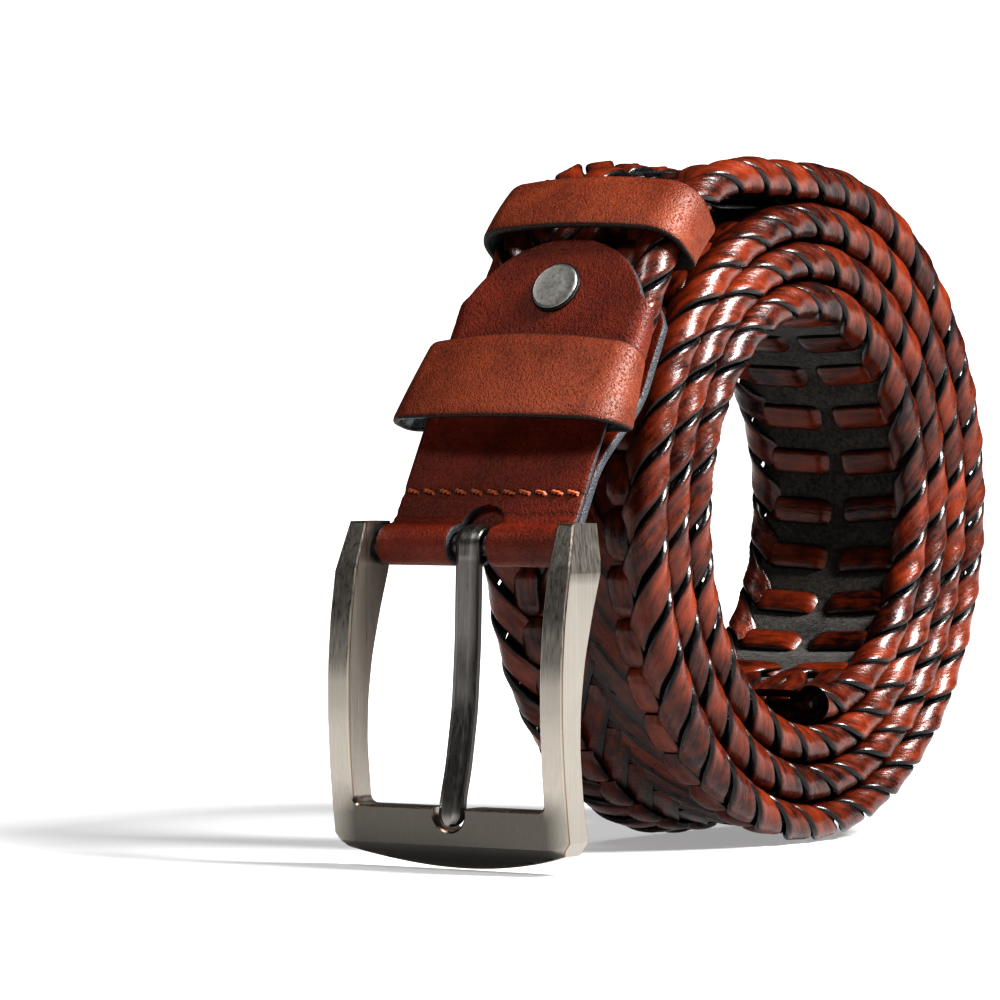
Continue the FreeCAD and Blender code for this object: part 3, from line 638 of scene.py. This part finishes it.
def make_tab():
    """Tab strip as two half-width skins that share the middle line, with slot, skirts and rounded ends."""
    v, line, normal, total, middle = tab_line()
    cover_end = COVER_TIP + COVER_RUN
    i = int(np.searchsorted(v, cover_end))
    v = np.insert(v, i, [cover_end, cover_end + 0.02])
    line = np.insert(line, i, [line[i], line[i]], 0)
    normal = np.insert(normal, i, [normal[i], normal[i]], 0)
    first, last = v[0] + 0.05, total - 0.3
    v = np.clip(v, first, last)
    end_front = np.sqrt(np.clip(1 - ((COVER_END - np.clip(v, 0, COVER_END)) / COVER_END) ** 2, 0, 1))
    back = np.clip(total - v, 0, COVER_END)
    end_back = np.sqrt(np.clip(1 - ((COVER_END - back) / COVER_END) ** 2, 0, 1))
    wrap = np.clip((end_front - 0.9) / 0.1, 0, 1)
    wrap = wrap * wrap * (3 - 2 * wrap)
    cover = COVER_HALF * end_front + (COVER_DEVELOPED - COVER_HALF) * wrap
    half = np.where(v <= cover_end + 0.005, cover, STRAP_HALF)
    half = np.minimum(half, np.where(v > middle, BACK_HALF * end_back, 99.0))
    top = COVER_TIP + BAR_DOWN - SLOT_UP
    low = 2 * middle - top - 4.5
    depth = np.minimum(v - top, low - v)
    rounded = np.sqrt(np.clip(SLOT_HALF ** 2 - (SLOT_HALF - np.clip(depth, 0, SLOT_HALF)) ** 2, 0, None))
    inner = np.where(depth > 0, rounded, 0.0)

    columns = 26
    q = (1 - np.cos(np.linspace(0, math.pi, columns))) / 2
    shell = Shell()
    for side in (-1, 1):
        u = inner[:, None] + (half - inner)[:, None] * q
        turn = np.clip((u - SKIRT_START) / SKIRT_RADIUS, 0, math.pi / 2)
        x = np.minimum(u, SKIRT_START) + SKIRT_RADIUS * np.sin(turn)
        straight = np.clip(u - SKIRT_START - SKIRT_RADIUS * math.pi / 2, 0, None)
        drop = SKIRT_RADIUS * (1 - np.cos(turn)) + straight
        to_edge = half[:, None] - u
        to_slot = np.where(inner[:, None] > 0.05, u - inner[:, None], 9.0)
        to_end = np.minimum(v - first, last - v)[:, None]
        soft = np.clip(np.minimum(np.minimum(to_edge, to_slot), to_end) / EDGE_SOFT, 0, 1)
        body = PLY / 2 - EDGE_ROUND * (1 - np.sqrt(1 - (1 - soft) ** 2))
        seam = 0.24 * np.exp(-((v - COVER_TIP - STITCH_DOWN) / 0.75) ** 2)[:, None]
        dimple = 0.12 * np.exp(-(((v - COVER_TIP - RIVET_DOWN)[:, None]) ** 2 + u ** 2) / 38.0)
        fold = np.exp(-((v - COVER_TIP - 47.6) / 3.2) ** 2)[:, None]
        crease = 0.10 * fold * np.sin(v[:, None] * 3.1 + 0.6 * np.sin(u * 0.5 + side))
        high = body - seam - dimple + crease
        rings = []
        for height in (high, -body):
            px = side * (x + height * np.sin(turn))
            out = height * np.cos(turn) - drop
            y = line[:, 0:1] + normal[:, 0:1] * out
            z = line[:, 1:2] + normal[:, 1:2] * out
            rings.append(row(px, y, z))
        loop = np.concatenate([rings[0], rings[1][:, ::-1]], 1)
        mark = np.clip(1.35 - soft * 1.6, 0, 1)
        rim = np.concatenate([mark, mark[:, ::-1]], 1)
        flat = np.stack(np.broadcast_arrays(side * u, v[:, None], 0.0), -1)
        flat = np.concatenate([flat, flat[:, ::-1]], 1)
        shell.sweep(loop, rim, 0.5, flat)
    return piece("tab_leather_strip", shell, TAB, "belt", ["tab_strip"], 50.0)


def make_stitches():
    """Two-strand twisted thread, each stitch a little aslant."""
    shell = Shell()
    t = np.linspace(0, 1, 22)
    angle = np.linspace(0, 2 * math.pi, 7)[:-1]
    front = FACE - 0.16
    inside = FACE - 2 * PLY - PLY_GAP
    for face, sign in ((front, 1), (inside, -1)):
        for i in range(STITCH_COUNT):
            middle = (i - (STITCH_COUNT - 1) / 2) * STITCH_PITCH
            for strand in (0, math.pi):
                twist = strand + 2.2 * math.pi * t * 1.4 + i
                x = middle + 2.5 * (t - 0.5)
                lift = 0.30 - 0.85 * np.abs(2 * t - 1) ** 5
                down = STITCH_DOWN + 0.5 * (t - 0.5) + STRAND_OFFSET * np.cos(twist)
                out = lift + STRAND_OFFSET * np.sin(twist)
                ring_down = down[:, None] + STRAND_RADIUS * np.cos(angle)
                ring_out = face + sign * (out[:, None] + STRAND_RADIUS * np.sin(angle))
                shell.sweep(on_tab(np.broadcast_to(x[:, None], ring_out.shape), ring_down, ring_out))
    return piece("tab_stitch_thread", shell, THREAD, "belt", ["tab_stitches"])


# ---------------------------------------------------------------- turned parts
def turned(profile, down, count=72):
    """Closed skin of a profile of (radius, out) turned about an axis square to the tab."""
    profile = np.asarray(profile, float)
    a = np.linspace(0, 2 * math.pi, count + 1)[:-1]
    x = profile[:, 0:1] * np.cos(a)
    d = down + profile[:, 0:1] * np.sin(a)
    out = np.broadcast_to(profile[:, 1:2], x.shape)
    return on_tab(x, d, out)


def make_rivet():
    """Cap, collar and socket of the rivet, turned on one axis."""
    base = FACE + 0.03
    cap, collar, socket = Shell(), Shell(), Shell()
    top = base + 0.85
    cap_line = [(0.3, base + 0.3), (4.0, base + 0.3), (4.18, base + 0.38), (4.2, top - 0.25),
                (4.1, top - 0.12), (3.85, top), (3.7, top - 0.02), (2.0, top), (0.2, top + 0.02)]
    cap.sweep(turned(cap_line, RIVET_DOWN), np.array([0, 0, 0.6, 1, 1, 0.5, 0, 0, 0])[:, None])
    collar.sweep(turned([(4.0, base), (4.45, base), (4.55, base + 0.12), (4.5, base + 0.3),
                         (4.3, base + 0.35), (4.0, base + 0.33)], RIVET_DOWN))
    low = -FACE - 0.03
    socket.sweep(turned([(0.2, low - 0.62), (1.0, low - 0.62), (1.3, low - 0.8), (3.0, low - 0.78),
                         (3.4, low - 0.55), (3.5, low - 0.1), (3.4, low), (0.2, low)], RIVET_DOWN))
    return [
        piece("rivet_cap_top", cap, NICKEL, "belt", ["rivet_cap"], 25.0),
        piece("rivet_collar_ring", collar, BLACK, "belt", ["rivet_collar"]),
        piece("rivet_socket_back", socket, NICKEL, "belt", ["rivet_socket"]),
    ]


# ---------------------------------------------------------------- keepers
def loop_outline(half, low, high, rise, shoulder):
    """Outline of a keeper loop, (across, out), with its outward normals."""
    turn = np.linspace(0, 1, 12) * math.pi / 2
    r, q = KEEPER_CORNER, shoulder
    foot, inner = half - r, half - q
    rising = np.linspace(low + r, high - q, 8)[1:-1]
    parts = [
        np.stack([np.linspace(-foot, foot, 40)[1:-1], np.full(38, low)], 1),
        np.stack([foot + r * np.sin(turn), low + r * (1 - np.cos(turn))], 1),
        np.stack([np.full(6, half), rising], 1),
        np.stack([inner + q * np.cos(turn), high - q + q * np.sin(turn)], 1),
    ]
    x = np.linspace(inner, -inner, 60)[1:-1]
    parts += [
        np.stack([x, high + rise * (1 - (x / inner) ** 2)], 1),
        np.stack([-inner - q * np.sin(turn), high - q + q * np.cos(turn)], 1),
        np.stack([np.full(6, -half), rising[::-1]], 1),
        np.stack([-foot - r * np.cos(turn), low + r - r * np.sin(turn)], 1),
    ]
    line = np.concatenate(parts)
    tangent = np.roll(line, -1, 0) - np.roll(line, 1, 0)
    for _ in range(4):
        tangent = (np.roll(tangent, 1, 0) + 2 * tangent + np.roll(tangent, -1, 0)) / 4
    tangent /= np.linalg.norm(tangent, axis=1)[:, None]
    return line, np.stack([tangent[:, 1], -tangent[:, 0]], 1)


def keeper_rings(low, base, upper, lower, width):
    """Rings of a keeper's leather: positions (across, out, along) and edge marks."""
    q = np.array([-0.5, -0.485, -0.45, -0.3, -0.1, 0.1, 0.3, 0.45, 0.485, 0.5])
    ease = np.array([0.34, 0.12, 0.0, 0, 0, 0, 0, 0.0, 0.12, 0.34])
    mark = np.array([1.0, 1.0, 0.35, 0, 0, 0, 0, 0.35, 1.0, 1.0])
    outer, inner = [], []
    for share, soft in zip(q, ease):
        blend = share + 0.5
        half, lift, rise, shoulder = [a + (b - a) * blend for a, b in zip(upper, lower)]
        line, normal = loop_outline(half, low, base + lift, rise, shoulder)
        along = np.full(len(line), share * width)
        outer.append(np.column_stack([line + normal * (KEEPER_THICKNESS - soft), along]))
        inner.append(np.column_stack([line + normal * soft, along]))
    rings = np.stack(outer + inner[::-1], 1)
    return rings, np.concatenate([mark, mark[::-1]])


def keeper_piece(name, rings, rim, body, node):
    """A keeper with tan skin outside and suede lining inside."""
    shell = Shell()
    shell.sweep(rings, rim[None], 0.5, None, True)
    obj = piece(name, shell, KEEPER, body, [node], 60.0)
    obj.data.materials.append(LINING)
    columns = rings.shape[1]
    lining = np.arange(len(obj.data.polygons)) % columns
    inside = (lining > columns // 2) & (lining < columns - 2)
    obj.data.polygons.foreach_set("material_index", inside.astype(np.int32))
    return obj


def make_fixed_keeper():
    rings, rim = keeper_rings(FACE - PLY - 0.2, FACE, FIXED_UPPER, FIXED_LOWER, FIXED_WIDTH)
    share = rings[..., 2] / FIXED_WIDTH + 0.5
    tilt = np.radians(FIXED_TILTS[0] + (FIXED_TILTS[1] - FIXED_TILTS[0]) * share)
    lift = rings[..., 1] - FACE
    down = FIXED_DOWN + rings[..., 2] - lift * np.sin(tilt)
    points = on_tab(rings[..., 0], down, FACE + lift * np.cos(tilt))
    return keeper_piece("fixed_keeper_loop", points, rim, "belt", "fixed_keeper")


def make_sliding_keeper():
    gap = BRAID_HALF + SLIDE_CLEARANCE
    rim_shape = (SLIDE_HALF, SLIDE_LIFT, SLIDE_RISE, SLIDE_SHOULDER)
    rings, rim = keeper_rings(BEND_RADIUS - gap, BEND_RADIUS + gap, rim_shape, rim_shape, SLIDE_WIDTH)
    a = math.radians(SLIDE_ANGLE) + rings[..., 2] / BEND_RADIUS
    points = row(rings[..., 0], BEND[0] - rings[..., 1] * np.sin(a), BEND[1] + rings[..., 1] * np.cos(a))
    return keeper_piece("sliding_keeper_loop", points, rim, "keeper", "sliding_keeper")


def make_staple():
    """Wire staple, its ends bent into the leather."""
    out = BEND_RADIUS - BRAID_HALF - SLIDE_CLEARANCE - KEEPER_THICKNESS - 0.35
    line = smooth_line([(-4.3, out + 0.25), (-4.2, out), (-3.6, out),
                        (3.6, out), (4.2, out), (4.3, out + 0.25)], 26)
    tangent = np.gradient(line, axis=0)
    tangent /= np.linalg.norm(tangent, axis=1)[:, None]
    angle = np.linspace(0, 2 * math.pi, 11)[:-1]
    x = line[:, 0:1] - tangent[:, 1:2] * 0.28 * np.cos(angle)
    r = line[:, 1:2] + tangent[:, 0:1] * 0.28 * np.cos(angle)
    a = math.radians(SLIDE_ANGLE) + 0.28 * np.sin(angle) / BEND_RADIUS
    shell = Shell()
    shell.sweep(row(x, BEND[0] - r * np.sin(a), BEND[1] + r * np.cos(a)))
    return piece("keeper_staple_wire", shell, NICKEL, "keeper", ["sliding_keeper_staple"])


# ---------------------------------------------------------------- buckle
FRONT_KEYS = np.array([(-3.8, 4.6), (4.2, 7.5), (12.0, 8.9), (20.0, 9.6), (28.0, 9.6), (36.0, 9.0),
                       (44.0, 7.9), (47.9, 7.3)])
BACK_KEYS = np.array([(-3.8, -2.4), (3.0, -2.4), (10.0, 0.2), (18.0, 2.6), (25.0, 3.7), (32.0, 3.9),
                      (40.0, 3.0), (47.8, 1.3), (51.8, 1.5)])


def curve_at(keys, x):
    """Smooth value at x through the key points."""
    fine = np.linspace(keys[0, 0], keys[-1, 0], 400)
    coarse = np.interp(fine, keys[:, 0], keys[:, 1])
    kernel = np.hanning(41)
    kernel /= kernel.sum()
    padded = np.concatenate([2 * coarse[0] - coarse[20:0:-1], coarse,
                             2 * coarse[-1] - coarse[-2:-22:-1]])
    return np.interp(x, fine, np.convolve(padded, kernel, "valid"))


def front_depth(drop):
    """How far the frame's face stands in front of the bar."""
    upper = 4.6 + (7.5 - 4.6) * (drop + 3.8) / 8.0
    face = np.where(drop < 4.2, upper, curve_at(FRONT_KEYS, np.clip(drop, -3.8, 47.9)))
    bevel = 7.3 - (drop - CREASE) * 4.2 / (FOOT - CREASE)
    return np.where(drop > CREASE, bevel, face)


def back_depth(drop):
    return curve_at(BACK_KEYS, drop)


def foot_at(x):
    """Lower outline of the end bar."""
    return CORNER + (FOOT - CORNER) * (1 - (x / (BUCKLE_HALF - 1.8)) ** 2)


def buckle_outline():
    """Front outline of the U-shaped frame, (across, drop), in order."""
    w, n, inner = BUCKLE_HALF, WINDOW_HALF, 1.2
    turn = np.linspace(0, math.pi / 2, 6)
    left = [(-w + 1.0, ARM_TOP), (-n, ARM_TOP)]
    left += [(-n, BAR_TOP - inner)]
    left += [(-n + inner - inner * math.cos(a), BAR_TOP - inner + inner * math.sin(a)) for a in turn[1:]]
    dip = [(-NOTCH_RADIUS, BAR_TOP), (-NOTCH_RADIUS, NOTCH_DROP)]
    dip += [(-NOTCH_RADIUS * math.cos(a), NOTCH_DROP + NOTCH_RADIUS * math.sin(a))
            for a in np.linspace(0, math.pi, 17)[1:-1]]
    dip += [(NOTCH_RADIUS, NOTCH_DROP), (NOTCH_RADIUS, BAR_TOP)]
    right = [(-x, d) for x, d in left[::-1]]
    foot = [(w, 4.2), (w, CORNER - 2.2), (w - 1.8, CORNER)]
    foot += [(x, float(foot_at(x))) for x in np.linspace(w - 1.8, 1.8 - w, 25)[1:-1]]
    foot += [(1.8 - w, CORNER), (-w, CORNER - 2.2), (-w, 4.2)]
    return left + dip + right + foot


def make_frame():
    """Cast frame: one outline with its own depth in front and behind, and worn chamfers."""
    bm = bmesh.new()
    bm.faces.new([bm.verts.new((x, d, 0)) for x, d in buckle_outline()])
    cuts = list(np.arange(-2, 41, 2.0)) + [4.2, CREASE, 43.2, 45.0, 46.5, 40.4, 49.4, 50.4]
    for drop in cuts:
        bmesh.ops.bisect_plane(bm, geom=bm.verts[:] + bm.edges[:] + bm.faces[:], dist=1e-5,
                               plane_co=(0, drop, 0), plane_no=(0, 1, 0))
    for x in list(np.arange(-16, 17, 2.0)) + [-WINDOW_HALF, WINDOW_HALF]:
        bmesh.ops.bisect_plane(bm, geom=bm.verts[:] + bm.edges[:] + bm.faces[:], dist=1e-5,
                               plane_co=(x, 0, 0), plane_no=(1, 0, 0))
    bmesh.ops.inset_region(bm, faces=bm.faces[:], thickness=CHAMFER_WIDTH, use_boundary=True,
                           use_even_offset=True)
    edge = {v for e in bm.edges if e.is_boundary for v in e.verts}
    bm.verts.index_update()
    verts = list(bm.verts)
    flags = np.array([v in edge for v in verts])
    xy = np.array([(v.co.x, v.co.y) for v in verts])
    faces = [[v.index for v in f.verts] for f in bm.faces]
    rim = [[v.index for v in e.verts] for e in bm.edges if e.is_boundary]
    bm.free()

    shell = Shell()
    size = len(xy)
    front = front_depth(xy[:, 1]) - np.where(flags, CHAMFER_DEPTH, 0.0)
    back = back_depth(xy[:, 1]) + np.where(flags, CHAMFER_DEPTH, 0.0)
    edges = sorted({i for pair in rim for i in pair})
    place = {i: j for j, i in enumerate(edges)}
    side = xy[edges]
    skin = faces + [[i + size for i in f[::-1]] for f in faces]
    for a, b in rim:
        loop = [a, 2 * size + place[a], 2 * size + len(edges) + place[a], a + size]
        far = [b, 2 * size + place[b], 2 * size + len(edges) + place[b], b + size]
        skin += [[loop[i], far[i], far[i + 1], loop[i + 1]] for i in range(3)]
    points = np.concatenate([
        on_buckle(xy[:, 0], front, xy[:, 1]), on_buckle(xy[:, 0], back, xy[:, 1]),
        on_buckle(side[:, 0], front[edges] - 0.2, side[:, 1]),
        on_buckle(side[:, 0], back[edges] + 0.2, side[:, 1])])
    # Painted shade: the end bar darkens from drop 39 towards its foot and is darkest on the
    # downward-facing bevel below the crease; the back face gets 0.6 of it.
    across_fade = np.clip((20.5 - np.abs(xy[:, 0])) / 2.0, 0.35, 1)
    dark = 0.82 * np.clip((xy[:, 1] - 39.0) / 3.0, 0, 1) * across_fade
    dark = np.where(xy[:, 1] > CREASE + 0.3, 1.0, dark)
    mark = np.where(flags, 1.0, 0.0)
    walls = np.zeros(2 * len(edges))
    shell.add(points, skin, np.concatenate([mark, mark, walls]),
              np.concatenate([dark, dark * 0.6, walls]))
    return piece("buckle_casting", shell, STEEL, "buckle", ["buckle_frame"], 24.0)


def make_bar():
    """Round bar with small shoulders where it enters the arms."""
    shell = Shell()
    a = np.linspace(0, 2 * math.pi, 41)[:-1]
    x = np.array([-20.6, -18.6, -18.3, -9.0, 0.0, 9.0, 18.3, 18.6, 20.6])
    r = np.array([1.8, 1.8, 1.9, 1.9, 1.9, 1.9, 1.9, 1.8, 1.8])
    across = np.broadcast_to(x[:, None], (len(x), len(a)))
    shell.sweep(on_buckle(across, r[:, None] * np.cos(a), r[:, None] * np.sin(a)))
    return piece("buckle_bar_pin", shell, PRONG, "buckle", ["buckle_bar"])


def make_prong():
    """Tongue: one bar of three facets that wraps round the pin and tapers to a round tip."""
    keys = [(8.6, 44.8), (8.1, 40.5), (6.6, 35.5), (4.8, 26.0), (4.0, 16.0), (3.75, 8.0), (3.55, 2.0)]
    thick = PRONG_THICK
    tongue = smooth_line([(f - thick / 2, d) for f, d in keys], 70)
    a = np.linspace(0.25, 5.0, 36)
    eye = np.stack([2.68 * np.cos(a), -2.68 * np.sin(a)], 1)
    line = np.concatenate([tongue, eye])
    steps = np.concatenate([[0], np.cumsum(np.hypot(*np.diff(line, axis=0).T))])
    even = np.linspace(0, steps[-1], 150)
    line = np.stack([np.interp(even, steps, line[:, i]) for i in (0, 1)], 1)
    tangent = np.gradient(line, axis=0)
    tangent /= np.linalg.norm(tangent, axis=1)[:, None]
    for _ in range(3):
        tangent[1:-1] = (tangent[:-2] + 2 * tangent[1:-1] + tangent[2:]) / 4
    normal = np.stack([-tangent[:, 1], tangent[:, 0]], 1)
    on_eye = np.clip((even - 43.5) / 3.0, 0, 1)
    height = (thick - (thick - 1.5) * on_eye) / 2
    tip = np.sqrt(np.clip(1 - ((PRONG_HALF - np.clip(even, 0.02, PRONG_HALF)) / PRONG_HALF) ** 2, 0, 1))
    wide = PRONG_HALF * tip
    height = height * (0.55 + 0.45 * tip)
    u = np.array([-1.0, -1.0, -0.9, -0.45, 0.45, 0.9, 1.0, 1.0, 0.82, -0.82])
    h = np.array([-0.75, 0.05, 0.35, 1.0, 1.0, 0.35, 0.05, -0.75, -1.0, -1.0])
    rings = []
    for p, n, w, t in zip(line, normal, wide, height):
        forward = p[0] + n[0] * h * t
        drop = p[1] + n[1] * h * t
        rings.append(on_buckle(u * w, forward, drop))
    shell = Shell()
    # Painted shade: the side facets carry a high tone mark, so they come out darker than the front facet.
    shell.sweep(np.array(rings), 0.0, np.where(np.abs(u) > 0.6, 0.75, 0.1)[None])
    return piece("prong_tongue", shell, PRONG, "tongue", ["prong"], 18.0)


# ---------------------------------------------------------------- build
for hand, word in ((-1, "left"), (1, "right")):
    make_edge_laces(hand, "edge_lace_" + word + "_runs")
    make_inner_laces(hand, "inner_lace_" + word + "_runs")
    make_column_laces(hand, "column_lace_" + word + "_runs")
make_core()
make_tip_laces()
make_tab()
make_stitches()
make_rivet()
make_fixed_keeper()
make_sliding_keeper()
make_staple()
make_frame()
make_bar()
make_prong()


# ---------------------------------------------------------------- floor, light and camera
def floor_material():
    """Matt pale floor that glows: faintly near the object, where the glow is painted light over its cast
    shadows, and plain white away from it.
    """
    n = Nodes("pale_floor")
    grain = n.noise(3.0, 2.0, 0.5)
    n.set(Base_Color=n.mix(grain, (0.37, 0.37, 0.37), (0.39, 0.39, 0.39)), Roughness=0.9)
    size = n.tree.nodes.new("ShaderNodeVectorMath")
    size.operation = "LENGTH"
    n.link(n.place, size.inputs[0])
    n.shader.inputs["Emission Color"].default_value = (1.0, 1.0, 1.0, 1.0)
    # Painted light: the glow rises from 0.28 near the middle, lightening the cast shadows, to plain white
    # far away.
    n.link(n.ramp(size.outputs["Value"], 0.08, 0.5, 0.28, 1.0), n.shader.inputs["Emission Strength"])
    return n.material


def make_floor():
    mesh = bpy.data.meshes.new("floor")
    bm = bmesh.new()
    count = 64
    for radius in (1.2, 2.4, 6.0):
        ring = [bm.verts.new((radius * math.cos(2 * math.pi * i / count),
                              radius * math.sin(2 * math.pi * i / count), -0.0003)) for i in range(count)]
        if radius == 1.2:
            bm.faces.new(ring)
        else:
            for i in range(count):
                bm.faces.new([inner[i], ring[i], ring[(i + 1) % count], inner[(i + 1) % count]])
        inner = ring
    bm.to_mesh(mesh)
    bm.free()
    mesh.materials.append(floor_material())
    obj = bpy.data.objects.new("floor", mesh)
    bpy.context.scene.collection.objects.link(obj)


def soft_light(name, place, target, size, power, colour=(1, 1, 1)):
    lamp = bpy.data.lights.new(name, "AREA")
    lamp.shape = "RECTANGLE"
    lamp.size, lamp.size_y = size
    lamp.energy = power
    lamp.color = colour
    obj = bpy.data.objects.new(name, lamp)
    obj.location = place
    obj.rotation_euler = (Vector(target) - Vector(place)).to_track_quat("-Z", "Y").to_euler()
    bpy.context.scene.collection.objects.link(obj)


make_floor()
world = bpy.data.worlds.new("studio")
bpy.context.scene.world = world
world.use_nodes = True
sky = world.node_tree
soft = sky.nodes["Background"]
soft.inputs["Color"].default_value = (1.0, 1.0, 1.0, 1.0)
soft.inputs["Strength"].default_value = 0.035
white = sky.nodes.new("ShaderNodeBackground")
white.inputs["Color"].default_value = (1.0, 1.0, 1.0, 1.0)
white.inputs["Strength"].default_value = 1.0
rays = sky.nodes.new("ShaderNodeLightPath")
choose = sky.nodes.new("ShaderNodeMixShader")
sky.links.new(rays.outputs["Is Camera Ray"], choose.inputs[0])
sky.links.new(soft.outputs[0], choose.inputs[1])
sky.links.new(white.outputs[0], choose.inputs[2])
sky.links.new(choose.outputs[0], sky.nodes["World Output"].inputs["Surface"])
bpy.context.scene.view_settings.view_transform = "Standard"
bpy.context.scene.view_settings.look = "High Contrast"

middle = (0.0, 0.0, 0.058)
soft_light("key", (0.90, 0.12, 0.85), middle, (0.30, 0.45), 50.0)
soft_light("front", (-0.15, -0.85, 1.15), middle, (0.30, 0.30), 9.0)

eye = Vector((0.5096, -0.8130, 0.0718))
aim = Vector((-0.04953, 0.01597, 0.05781))
camera = bpy.data.cameras.new("camera")
camera.sensor_width = 36.0
camera.lens = 202.8
camera.clip_end = 50.0
view = bpy.data.objects.new("camera", camera)
view.location = eye
view.rotation_euler = (aim - eye).to_track_quat("-Z", "Y").to_euler()
bpy.context.scene.collection.objects.link(view)
bpy.context.scene.camera = view
